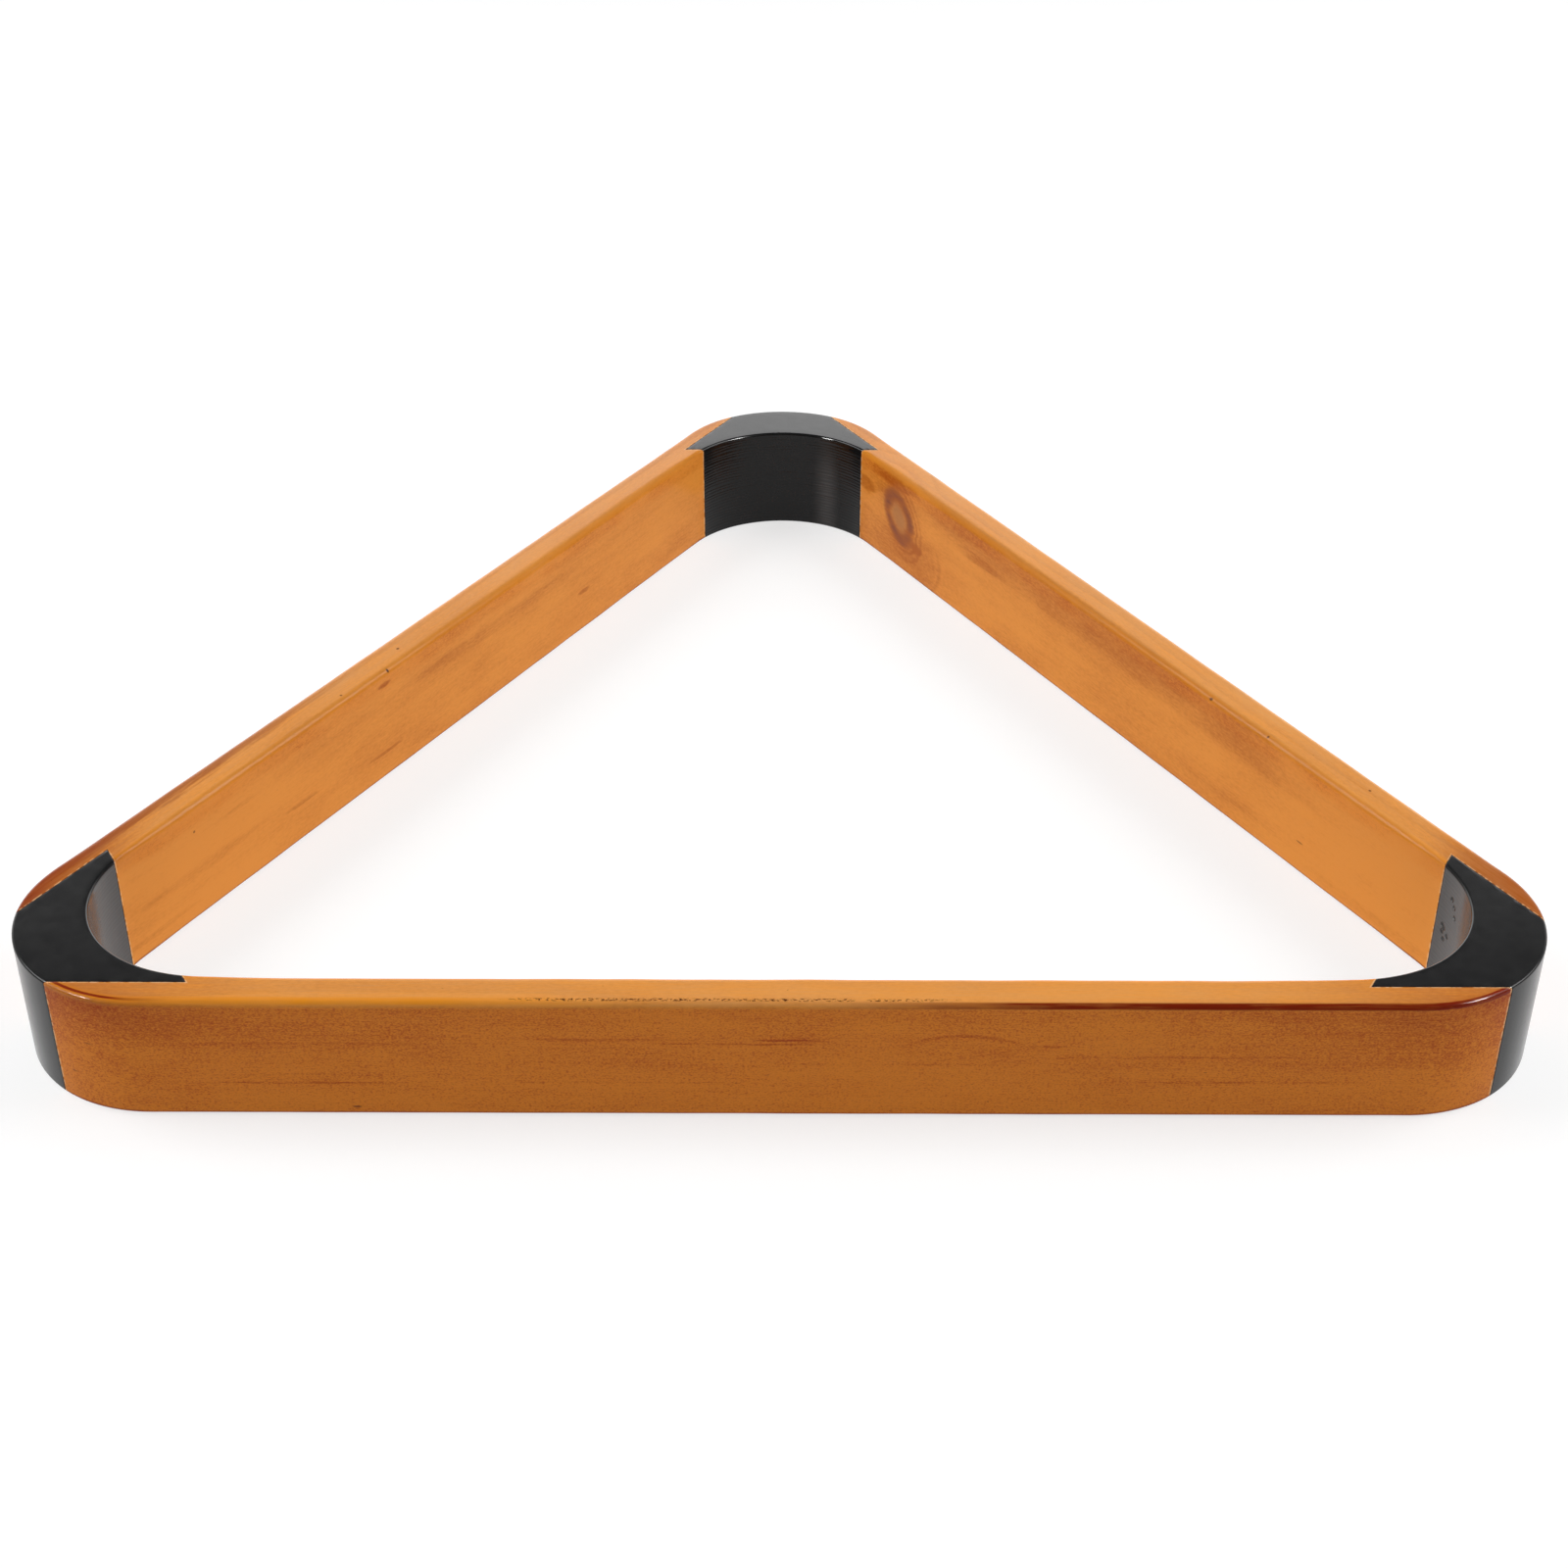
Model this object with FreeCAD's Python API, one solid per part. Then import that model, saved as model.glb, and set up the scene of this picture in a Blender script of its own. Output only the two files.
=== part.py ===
import FreeCAD, Part
import math
import os

# Triangle rack for fifteen pool balls.
#
# Three wooden rails stand on edge round the balls. A black corner block joins each pair of
# rails: it is a triangular prism glued into rabbets cut in the rails' inner faces, and it
# holds the corner ball in a round pocket. The rabbets are fitted by hand, so their depths
# differ. The rails and blocks are glued up first. The pockets, the round outer corners and
# the eased edges are then machined right across the joints, so that the whole rack is one
# blank, divided along its glue lines.
#
# Millimetres. +Z is up and the rack lies on the table plane, z = 0. The front rail runs
# along X on the -Y side, and the apex points to +Y. The origin is under the middle of the
# rack's bounding box.

# Driving dimensions

BALL_DIAMETER = 57.2
BALLS_PER_SIDE = 5
SIDE_PLAY = 1.2             # gap between the outermost balls and each rail

RAIL_THICKNESS = 9.4
OUTER_CORNER_RADIUS = 31.6
EDGE_RADIUS = 1.0           # every long edge of the rack, at the top and at the bottom

BLOCK_REACH = 45.9          # along a rail, from where the inner faces would meet

# How far each corner's block is let into its two rails

RABBET_DEPTHS = {
    "front_left": {"front": 2.5, "left": 4.2},
    "front_right": {"front": 3.0, "right": 3.6},
    "apex": {"left": 4.3, "right": 3.9},
}

# Bearings from the middle of the triangle, in degrees anticlockwise from +X

CORNER_BEARINGS = {"front_left": 210.0, "front_right": 330.0, "apex": 90.0}
RAIL_BEARINGS = {"front": 270.0, "left": 150.0, "right": 30.0}

# Worked-out dimensions. An apothem is the distance from the middle to a side's face.

BALL_RADIUS = BALL_DIAMETER / 2.0
POCKET_RADIUS = BALL_RADIUS
RAIL_HEIGHT = BALL_RADIUS   # the rails reach up to the middle of the balls
BALL_ROW = (BALLS_PER_SIDE - 1) * BALL_DIAMETER
INNER_APOTHEM = BALL_ROW / (2.0 * math.sqrt(3.0)) + BALL_RADIUS + SIDE_PLAY
OUTER_APOTHEM = INNER_APOTHEM + RAIL_THICKNESS
SHOULDER_DISTANCE = 2.0 * INNER_APOTHEM - BLOCK_REACH * math.cos(math.radians(30.0))

# The front rail's face and the round apex are equally far from the bounding box's middle.
MIDDLE = FreeCAD.Vector(0.0, (OUTER_CORNER_RADIUS - OUTER_APOTHEM) / 2.0, 0.0)
UP = FreeCAD.Vector(0.0, 0.0, 1.0)

CUTTER_OVERRUN = 1.0        # how far a dividing prism stands past the rack's two faces


def along(distance, bearing):
    """The vector of that length on the table plane."""
    angle = math.radians(bearing)
    return FreeCAD.Vector(distance * math.cos(angle), distance * math.sin(angle), 0.0)


def rounded_triangle(apothem, corner_radius):
    """A prism as high as the rails, on an equilateral triangle with round corners."""
    arc_centre_distance = 2.0 * (apothem - corner_radius)
    edges = []
    starts = []
    ends = []
    for bearing in sorted(CORNER_BEARINGS.values()):
        centre = MIDDLE + along(arc_centre_distance, bearing)
        starts.append(centre + along(corner_radius, bearing - 60.0))
        ends.append(centre + along(corner_radius, bearing + 60.0))
        crown = centre + along(corner_radius, bearing)
        edges.append(Part.Arc(starts[-1], crown, ends[-1]).toShape())
    next_starts = starts[1:] + starts[:1]
    for end, next_start in zip(ends, next_starts):
        edges.append(Part.LineSegment(end, next_start).toShape())
    outline = Part.Wire(Part.sortEdges(edges)[0])
    return Part.Face(outline).extrude(UP * RAIL_HEIGHT)


def rack_blank():
    """The whole rack as it is after machining, not yet divided into its pieces."""
    ring = rounded_triangle(OUTER_APOTHEM, OUTER_CORNER_RADIUS)
    ring = ring.cut(rounded_triangle(INNER_APOTHEM, POCKET_RADIUS))
    level_edges = [edge for edge in ring.Edges if edge.BoundBox.ZLength < RAIL_HEIGHT / 2.0]
    return ring.makeFillet(EDGE_RADIUS, level_edges)


def rabbet_floor_point(corner, rail, depth, distance):
    """A point of a rabbet's floor, that far from the middle along the corner's bearing."""
    turn = math.radians(rail - corner)
    sideways = (INNER_APOTHEM + depth - distance * math.cos(turn)) / math.sin(turn)
    return MIDDLE + along(distance, corner) + along(sideways, corner + 90.0)


def corner_prism(name):
    """The triangular prism that a corner block is cut from.

    Its two sides are the rabbets' floors, parallel to the rails. Its base faces the middle
    of the rack and sets the slanting shoulder at the end of each rabbet. The rails' bearings
    are 60 degrees from the corner's, so the floors meet as far out as both their distances
    from the middle together.
    """
    corner = CORNER_BEARINGS[name]
    floors = [(RAIL_BEARINGS[rail], depth) for rail, depth in RABBET_DEPTHS[name].items()]
    tip_distance = sum(INNER_APOTHEM + depth for _, depth in floors)
    tip = rabbet_floor_point(corner, *floors[0], tip_distance)
    base = [rabbet_floor_point(corner, *floor, SHOULDER_DISTANCE) for floor in floors]
    below = UP * CUTTER_OVERRUN
    outline = Part.makePolygon([point - below for point in (tip, *base, tip)])
    return Part.Face(outline).extrude(UP * (RAIL_HEIGHT + 2.0 * CUTTER_OVERRUN))


def corner_blocks(blank, prisms):
    """One block for each corner: the part of the blank inside its prism."""
    return {f"corner_block_{name}": blank.common(prism) for name, prism in prisms.items()}


def rails(blank, prisms):
    """The three rails: what is left of the blank, named by the side that each lies on."""
    remainder = blank.cut(list(prisms.values()))
    pieces = {}
    for name, bearing in RAIL_BEARINGS.items():
        side = along(1.0, bearing)
        nearest = max(remainder.Solids, key=lambda solid: (solid.CenterOfMass - MIDDLE).dot(side))
        pieces[f"rail_{name}"] = nearest
    return pieces


def main():
    blank = rack_blank()
    prisms = {name: corner_prism(name) for name in CORNER_BEARINGS}
    pieces = {**rails(blank, prisms), **corner_blocks(blank, prisms)}
    os.makedirs("parts", exist_ok=True)
    for name, shape in pieces.items():
        solid = shape.Solids[0]
        solid.exportStep(f"parts/{name}.step")
        print(f"{name}: {solid.Volume:.0f} mm3, {len(shape.Solids)} solid, valid {solid.isValid()}")
    box = blank.optimalBoundingBox()
    print(f"rack: {box.XLength:.2f} x {box.YLength:.2f} x {box.ZLength:.2f} mm")
    print(f"box middle: {box.Center.x:.3f}, {box.Center.y:.3f}, bottom {box.ZMin:.3f}")
    pieces_volume = sum(shape.Volume for shape in pieces.values())
    print(f"undivided {blank.Volume:.1f} mm3, pieces together {pieces_volume:.1f} mm3")


main()
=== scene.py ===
import math

import bmesh
import bpy
from mathutils import Matrix, Vector, noise


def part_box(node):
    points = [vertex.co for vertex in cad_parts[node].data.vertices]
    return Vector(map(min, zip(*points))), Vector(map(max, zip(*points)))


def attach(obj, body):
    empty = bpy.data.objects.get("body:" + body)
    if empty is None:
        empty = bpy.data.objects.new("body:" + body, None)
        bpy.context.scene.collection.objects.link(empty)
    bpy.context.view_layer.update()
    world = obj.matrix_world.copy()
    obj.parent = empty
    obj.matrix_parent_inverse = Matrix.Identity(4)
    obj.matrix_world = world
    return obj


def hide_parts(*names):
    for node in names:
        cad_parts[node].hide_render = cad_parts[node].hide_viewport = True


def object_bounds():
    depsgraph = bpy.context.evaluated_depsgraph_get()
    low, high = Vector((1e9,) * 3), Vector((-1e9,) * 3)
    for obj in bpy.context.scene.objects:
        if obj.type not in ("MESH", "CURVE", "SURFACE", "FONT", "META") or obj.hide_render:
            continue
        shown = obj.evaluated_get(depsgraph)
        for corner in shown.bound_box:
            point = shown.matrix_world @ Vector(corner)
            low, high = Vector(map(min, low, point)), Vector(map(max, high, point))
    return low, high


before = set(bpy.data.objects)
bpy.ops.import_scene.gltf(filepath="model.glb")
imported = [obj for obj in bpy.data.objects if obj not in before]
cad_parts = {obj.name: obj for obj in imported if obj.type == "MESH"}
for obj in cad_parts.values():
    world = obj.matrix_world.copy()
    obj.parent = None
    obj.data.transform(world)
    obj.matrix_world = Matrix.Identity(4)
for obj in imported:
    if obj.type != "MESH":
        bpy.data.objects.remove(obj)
cad_low, cad_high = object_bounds()

# ---------------------------------------------------------------------------------------
# The rack's shape. Lengths are in metres, and MM turns millimetres into them. A bearing is
# an angle in degrees anticlockwise from +X, seen from above.
# ---------------------------------------------------------------------------------------

MM = 0.001

RAIL_THICKNESS = 9.4 * MM
OUTER_CORNER_RADIUS = 31.6 * MM
POCKET_RADIUS = 28.6 * MM

CORNER_BEARINGS = {"apex": 90.0, "front_left": 210.0, "front_right": 330.0}
RAIL_BEARINGS = {"left": 150.0, "front": 270.0, "right": 30.0}

HEIGHT = cad_high.z - cad_low.z
OUTER_APOTHEM = (cad_high.y - cad_low.y + OUTER_CORNER_RADIUS) / 3.0
INNER_APOTHEM = OUTER_APOTHEM - RAIL_THICKNESS
INNER_HALF_SIDE = INNER_APOTHEM * math.sqrt(3.0)
MIDDLE = Vector((0.0, cad_low.y + OUTER_APOTHEM, cad_low.z))

# The plane of the shoulders at a corner, from the middle, and how far along a rail it is
# from the point where the inner faces would meet.
SHOULDER_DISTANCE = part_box("corner_block_apex")[0].y - MIDDLE.y
BLOCK_REACH = (2.0 * INNER_APOTHEM - SHOULDER_DISTANCE) / math.cos(math.radians(30.0))

# How far each corner's block is let into its two rails.
RABBET_DEPTHS = {
    "front_left": {"front": 2.5 * MM, "left": 4.2 * MM},
    "front_right": {"front": 3.0 * MM, "right": 3.6 * MM},
    "apex": {"left": 4.3 * MM, "right": 3.9 * MM},
}

# Radii of the eased edges: first in the middle of a corner block, then along a rail. An
# edge grows from one to the other between two distances past the joint, along the rail.
OUTER_TOP_EDGE = (0.50 * MM, 1.40 * MM)
INNER_TOP_EDGE = (0.65 * MM, 1.80 * MM)
BOTTOM_EDGE = (0.60 * MM, 0.95 * MM)
EDGE_GROWTH = (-6.0 * MM, 22.0 * MM)

EDGE_UNEVENNESS = 0.12              # share of a radius
FACE_UNEVENNESS = 0.05 * MM
UNEVENNESS_LENGTH = 24.0 * MM
EDGE_PACE = 2.0                     # how much faster an edge varies than a face

JOINT_GROOVE_WIDTH = 0.10 * MM      # on each side of the glue line
JOINT_GROOVE_DEPTH = 0.06 * MM
JOINT_MARGIN = 9.0 * MM             # how far inside the shoulders faces are still divided
ON_PLANE = 1.0e-6                   # a point this near a plane lies on it

# How finely the mesh is divided: round a corner, along a rail, over an eased edge, up a
# side face, and across the top and the bottom.
ARC_STEPS = 48
STRAIGHT_STEPS = 110
EDGE_STEPS = 6
SIDE_STEPS = 12
TOP_STEPS = 6

SHARP_ANGLE = math.radians(40.0)    # the shading breaks at edges sharper than this
LARGE_FACE_WEIGHT = 90              # above 50, large faces turn the shading normals more


def along(bearing):
    """The level unit vector with that bearing."""
    angle = math.radians(bearing)
    return Vector((math.cos(angle), math.sin(angle), 0.0))


def smooth_step(value, low, high):
    """From 0 at low to 1 at high, and level beyond them."""
    share = min(max((value - low) / (high - low), 0.0), 1.0)
    return share * share * (3.0 - 2.0 * share)


def nearest_rail(bearing):
    """The bearing of the rail that a face with this bearing belongs to, or is closest to."""
    return max(RAIL_BEARINGS.values(), key=lambda rail: along(rail).dot(along(bearing)))


def unevenness(point):
    """A slow variation over the rack, from -1 to 1, as hand sanding leaves."""
    return noise.noise(point / UNEVENNESS_LENGTH)


def corner_station(corner, bearing):
    """The inner and outer points of a round corner where its faces have that bearing."""
    normal = along(bearing)
    pocket_centre = MIDDLE + along(corner) * 2.0 * (INNER_APOTHEM - POCKET_RADIUS)
    outer_centre = MIDDLE + along(corner) * 2.0 * (OUTER_APOTHEM - OUTER_CORNER_RADIUS)
    inner = pocket_centre + normal * POCKET_RADIUS
    outer = outer_centre + normal * OUTER_CORNER_RADIUS
    return inner, outer, bearing


def stations():
    """Inner point, outer point and bearing at each step round the rack."""
    result = []
    for corner in CORNER_BEARINGS.values():
        for step in range(ARC_STEPS + 1):
            result.append(corner_station(corner, corner - 60.0 + 120.0 * step / ARC_STEPS))
        rail = corner + 60.0
        end = corner_station(corner, rail)
        start = corner_station(corner + 120.0, rail)
        for step in range(1, STRAIGHT_STEPS):
            share = step / STRAIGHT_STEPS
            result.append((end[0].lerp(start[0], share), end[1].lerp(start[1], share), rail))
    return result


def edge_radius(point, rail, sizes, joint_distance):
    """The radius of an eased edge, which grows from the corner block into the rail."""
    from_corner = INNER_HALF_SIDE - abs((point - MIDDLE).dot(along(rail + 90.0)))
    start, end = (joint_distance + distance for distance in EDGE_GROWTH)
    radius = sizes[0] + (sizes[1] - sizes[0]) * smooth_step(from_corner, start, end)
    return radius * (1.0 + EDGE_UNEVENNESS * unevenness(point * EDGE_PACE))


def between(start, end, steps):
    """The points that divide a line into equal steps, without its ends."""
    return [start.lerp(end, step / steps) for step in range(1, steps)]


def quarter(centre, outward, radius, first_angle):
    """A quarter circle in the plane of outward and up, turning clockwise from first_angle."""
    points = []
    for step in range(EDGE_STEPS + 1):
        angle = math.radians(first_angle - 90.0 * step / EDGE_STEPS)
        offset = outward * math.cos(angle) + Vector((0.0, 0.0, math.sin(angle)))
        points.append(centre + offset * radius)
    return points


def section(inner, outer, bearing):
    """The closed outline of the rack's section at one station, clockwise from the top."""
    outward = along(bearing)
    rail = nearest_rail(bearing)
    inner_joint = BLOCK_REACH
    outer_joint = BLOCK_REACH / 2.0
    inner_top = edge_radius(inner, rail, INNER_TOP_EDGE, inner_joint)
    outer_top = edge_radius(outer, rail, OUTER_TOP_EDGE, outer_joint)
    inner_bottom = edge_radius(inner, rail, BOTTOM_EDGE, inner_joint)
    outer_bottom = edge_radius(outer, rail, BOTTOM_EDGE, outer_joint)
    wear = FACE_UNEVENNESS * 0.5
    inner = inner + outward * wear * (1.0 + unevenness(inner))
    outer = outer - outward * wear * (1.0 + unevenness(outer))

    def at(point, inset, height):
        return Vector((point.x, point.y, cad_low.z + height)) + outward * inset

    arcs = [
        quarter(at(outer, -outer_top, HEIGHT - outer_top), outward, outer_top, 90.0),
        quarter(at(outer, -outer_bottom, outer_bottom), outward, outer_bottom, 0.0),
        quarter(at(inner, inner_bottom, inner_bottom), outward, inner_bottom, -90.0),
        quarter(at(inner, inner_top, HEIGHT - inner_top), outward, inner_top, 180.0),
    ]
    steps = [SIDE_STEPS, TOP_STEPS, SIDE_STEPS, TOP_STEPS]
    outline = []
    for index, arc in enumerate(arcs):
        next_arc = arcs[(index + 1) % len(arcs)]
        outline += arc + between(arc[-1], next_arc[0], steps[index])
    return outline


def rack_blank():
    """The whole rack as one closed mesh, before it is divided along its glue lines."""
    mesh = bmesh.new()
    rings = [[mesh.verts.new(point) for point in section(*station)] for station in stations()]
    for ring, next_ring in zip(rings, rings[1:] + rings[:1]):
        for index in range(len(ring)):
            following = (index + 1) % len(ring)
            mesh.faces.new(
                (ring[index], ring[following], next_ring[following], next_ring[index])
            )
    bmesh.ops.recalc_face_normals(mesh, faces=mesh.faces)
    return mesh


def parts_of(faces):
    """Those faces with their edges and corners, each once, in a settled order."""
    edges = dict.fromkeys(edge for face in faces for edge in face.edges)
    verts = dict.fromkeys(vert for face in faces for vert in face.verts)
    return list(faces) + list(edges) + list(verts)


def shoulder_height(point, corner):
    """How far a point is beyond the plane of the shoulders at a corner."""
    return (point - MIDDLE).dot(along(corner)) - SHOULDER_DISTANCE


def rabbet_height(point, corner_name, rail_name):
    """How far a point is outside the floor of the rabbet where that block is let in."""
    floor_distance = INNER_APOTHEM + RABBET_DEPTHS[corner_name][rail_name]
    return (point - MIDDLE).dot(along(RAIL_BEARINGS[rail_name])) - floor_distance


def divide(mesh, faces, distance, bearing):
    """Divides faces along the upright plane at that distance from the middle."""
    bmesh.ops.bisect_plane(
        mesh,
        geom=parts_of(faces),
        plane_co=MIDDLE + along(bearing) * distance,
        plane_no=along(bearing),
    )


def faces_beyond(mesh, corner, height):
    """The faces further out than that height above the shoulders at a corner."""
    return [f for f in mesh.faces if shoulder_height(f.calc_center_median(), corner) > height]


def cut_joints(mesh):
    """Divides faces along each joint, and at a groove's width on both sides of it."""
    offsets = (-JOINT_GROOVE_WIDTH, 0.0, JOINT_GROOVE_WIDTH)
    for name, corner in CORNER_BEARINGS.items():
        for offset in offsets:
            near = faces_beyond(mesh, corner, -JOINT_MARGIN)
            divide(mesh, near, SHOULDER_DISTANCE + offset, corner)
        for rail, depth in RABBET_DEPTHS[name].items():
            for offset in offsets:
                beyond = faces_beyond(mesh, corner, 0.0)
                divide(mesh, beyond, INNER_APOTHEM + depth + offset, RAIL_BEARINGS[rail])


def owner(point):
    """The name of the piece that a point of the rack belongs to."""
    for name, corner in CORNER_BEARINGS.items():
        if shoulder_height(point, corner) > 0.0:
            for rail in RABBET_DEPTHS[name]:
                if rabbet_height(point, name, rail) > 0.0:
                    return "rail_" + rail
            return "corner_block_" + name
    return "rail_" + max(
        RAIL_BEARINGS, key=lambda rail: (point - MIDDLE).dot(along(RAIL_BEARINGS[rail]))
    )


def joint_planes(point):
    """The normals of the joint planes that a point lies on: shoulders, then rabbets' floors."""
    shoulders = []
    floors = []
    for name, corner in CORNER_BEARINGS.items():
        height = shoulder_height(point, corner)
        if abs(height) < ON_PLANE:
            shoulders.append(along(corner))
        if height > -ON_PLANE:
            for rail in RABBET_DEPTHS[name]:
                if abs(rabbet_height(point, name, rail)) < ON_PLANE:
                    floors.append(along(RAIL_BEARINGS[rail]))
    return shoulders, floors


def open_loops(mesh):
    """The closed chains of open edges, each as its corners in order."""
    open_edges = [edge for edge in mesh.edges if edge.is_boundary]
    waiting = dict.fromkeys(open_edges)
    loops = []
    while waiting:
        edge = next(iter(waiting))
        del waiting[edge]
        first, current = edge.verts
        loop = [first]
        while current is not first:
            loop.append(current)
            edge = next(e for e in current.link_edges if e in waiting)
            del waiting[edge]
            current = edge.other_vert(current)
        loops.append(loop)
    return loops


def close_joint(mesh, loop):
    """Closes one joint of a piece with two flat faces: the rabbet's floor and its shoulder."""
    first, last = [index for index, vert in enumerate(loop) if all(joint_planes(vert.co))]
    mesh.faces.new(loop[first : last + 1])
    mesh.faces.new(loop[last:] + loop[: first + 1])


def sink_joint_lines(mesh):
    """Lowers the lines where two pieces meet, within the planes of their joint, into a groove."""
    mesh.normal_update()
    moves = {}
    for vert in mesh.verts:
        if len({owner(face.calc_center_median()) for face in vert.link_faces}) < 2:
            continue
        direction = -vert.normal
        shoulders, floors = joint_planes(vert.co)
        for normal in shoulders + floors:
            direction -= normal * direction.dot(normal)
        moves[vert] = direction.normalized() * JOINT_GROOVE_DEPTH
    for vert, move in moves.items():
        vert.co += move


def shade(mesh_data):
    """Smooth shading, with the flats kept flat and the joints' rims crisp."""
    mesh_data.polygons.foreach_set("use_smooth", [True] * len(mesh_data.polygons))
    mesh_data.set_sharp_from_angle(angle=SHARP_ANGLE)


def make_piece(blank, name):
    """One piece of the rack, cut from the blank, closed at its joints and smooth shaded."""
    mesh = blank.copy()
    others = [face for face in mesh.faces if owner(face.calc_center_median()) != name]
    bmesh.ops.delete(mesh, geom=others, context="FACES")
    for loop in open_loops(mesh):
        close_joint(mesh, loop)
    bmesh.ops.recalc_face_normals(mesh, faces=mesh.faces)
    data = bpy.data.meshes.new(name)
    mesh.to_mesh(data)
    mesh.free()
    shade(data)
    piece = bpy.data.objects.new(name + "_visual", data)
    bpy.context.scene.collection.objects.link(piece)
    weighted = piece.modifiers.new("weighted normals", "WEIGHTED_NORMAL")
    weighted.keep_sharp = True
    weighted.weight = LARGE_FACE_WEIGHT
    return piece


blank = rack_blank()
cut_joints(blank)
sink_joint_lines(blank)
pieces = {name: make_piece(blank, name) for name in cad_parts}
blank.free()
for name, piece in pieces.items():
    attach(piece, "root")
    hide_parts(name)

# ---------------------------------------------------------------------------------------
# Materials. Their coordinates are in millimetres and belong to the piece: for a rail,
# along it (s), across it outwards from its inner face (n) and up (z), and for a corner
# block, outwards along the corner's bearing (x), sideways (y) and up (z). A bare factor in
# a sum of fields is that field's share of the mixture, set by comparing renders with the
# photograph.
# ---------------------------------------------------------------------------------------

THICKNESS_MM = RAIL_THICKNESS / MM
HEIGHT_MM = HEIGHT / MM
APOTHEM_MM = INNER_APOTHEM / MM
SHOULDER_MM = SHOULDER_DISTANCE / MM
POCKET_MM = POCKET_RADIUS / MM
OUTER_ARC_MM = OUTER_CORNER_RADIUS / MM
OUTER_ARC_START_MM = (OUTER_APOTHEM - OUTER_CORNER_RADIUS) / MM * math.sqrt(3.0)
POCKET_CENTRE_MM = 2.0 * (INNER_APOTHEM - POCKET_RADIUS) / MM

WOOD_LIGHT = (0.730, 0.275, 0.043)
WOOD_DARK = (0.400, 0.105, 0.010)
WOOD_AMBER = (0.680, 0.205, 0.014)
WOOD_AMBER_DARK = (0.340, 0.040, 0.001)
WOOD_EDGE_STAIN_AND_RIM_LIGHT = (0.720, 0.250, 0.016)
WOOD_TAN = (0.420, 0.190, 0.060)
WOOD_PAINTED_SHEEN = (0.700, 0.340, 0.110)
WOOD_BARK = (0.165, 0.050, 0.028)
WOOD_RED = (0.200, 0.014, 0.001)
WOOD_PORE = (0.090, 0.022, 0.004)
WOOD_PALE = (0.780, 0.480, 0.230)
BLACK_DEEP = (0.0060, 0.0060, 0.0063)
BLACK_WORN = (0.0220, 0.0216, 0.0213)
BLACK_DUST_AND_SHEEN = (0.1150, 0.1120, 0.1120)
BLACK_HOLE = (0.0020, 0.0020, 0.0020)

# The stained wood under the lacquer hardly reflects: the lacquer's gloss lies over it.
WOOD_IOR = 1.05
LACQUER_IOR = 1.44
PLASTIC_IOR = 1.32
WOOD_RELIEF = 0.05          # what a height of 1 stands for
PLASTIC_RELIEF = 0.03

NOISE_SHIFT = (17.3, 5.9, 31.1)     # from each noise's place to the next one's

RING_SPACING = 3.4          # between growth rings
TURNING_PITCH = 0.92        # between the turned rings in a pocket

# The knot in the right rail: its place (s, z), and its radius along the rail and up.
KNOT_PLACE = (99.7, 15.9)
KNOT_RADII = (8.0, 8.2)

# The moulding holes in the front right pocket: bearing from the pocket's axis, and height.
MOULDING_HOLES = [
    (43.4, 22.6),
    (40.5, 21.3),
    (38.9, 19.2),
    (47.1, 14.7),
    (45.9, 14.1),
    (46.9, 13.0),
    (42.5, 13.0),
    (45.1, 11.5),
]

# What a rail's features may leave out, with the values that a plain rail has.
PLAIN_RAIL = {
    "outer": 0.22,
    "amber": 0.45,
    "edge_stain_and_rim_light": 0.0,
    "core": 0.0,
    "bark": 0.0,
    "swirl": 0.0,
    "relief": 0.0,
}


class Field:
    """A number that varies over a surface: a shader socket with ordinary arithmetic."""

    def __init__(self, tree, socket):
        self.tree = tree
        self.socket = socket

    def math(self, operation, *others):
        """The result of a math node on this number and the others."""
        node = self.tree.nodes.new("ShaderNodeMath")
        node.operation = operation
        for value, socket in zip((self,) + others, node.inputs):
            connect(self.tree, value, socket)
        return Field(self.tree, node.outputs[0])

    def __add__(self, other):
        return self.math("ADD", other)

    def __sub__(self, other):
        return self.math("SUBTRACT", other)

    def __mul__(self, other):
        return self.math("MULTIPLY", other)

    def __truediv__(self, other):
        return self.math("DIVIDE", other)

    def __neg__(self):
        return self * -1.0

    def __abs__(self):
        return self.math("ABSOLUTE")

    def squared(self):
        return self * self

    def root(self):
        return self.math("SQRT")

    def fraction(self):
        return self.math("FRACT")

    def least(self, other):
        return self.math("MINIMUM", other)

    def most(self, other):
        return self.math("MAXIMUM", other)

    def ramp(self, start, end, low=0.0, high=1.0):
        """From low at start to high at end, on a smooth step that is level beyond them."""
        node = self.tree.nodes.new("ShaderNodeMapRange")
        node.interpolation_type = "SMOOTHSTEP"
        for value, socket in zip((self, start, end, low, high), node.inputs):
            connect(self.tree, value, socket)
        return Field(self.tree, node.outputs[0])

    def band(self, middle, half_width, softness=0.5):
        """1 within half_width of middle, softening to 0 over the outer share of it."""
        return abs(self - middle).ramp(half_width * (1.0 - softness), half_width, 1.0, 0.0)


def connect(tree, value, socket):
    """Puts a field, or a plain number or colour, into a shader's input."""
    if isinstance(value, Field):
        tree.links.new(value.socket, socket)
    else:
        socket.default_value = value


def greatest(fields):
    """The greatest of several fields at each point."""
    result = fields[0]
    for field in fields[1:]:
        result = result.most(field)
    return result


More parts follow.
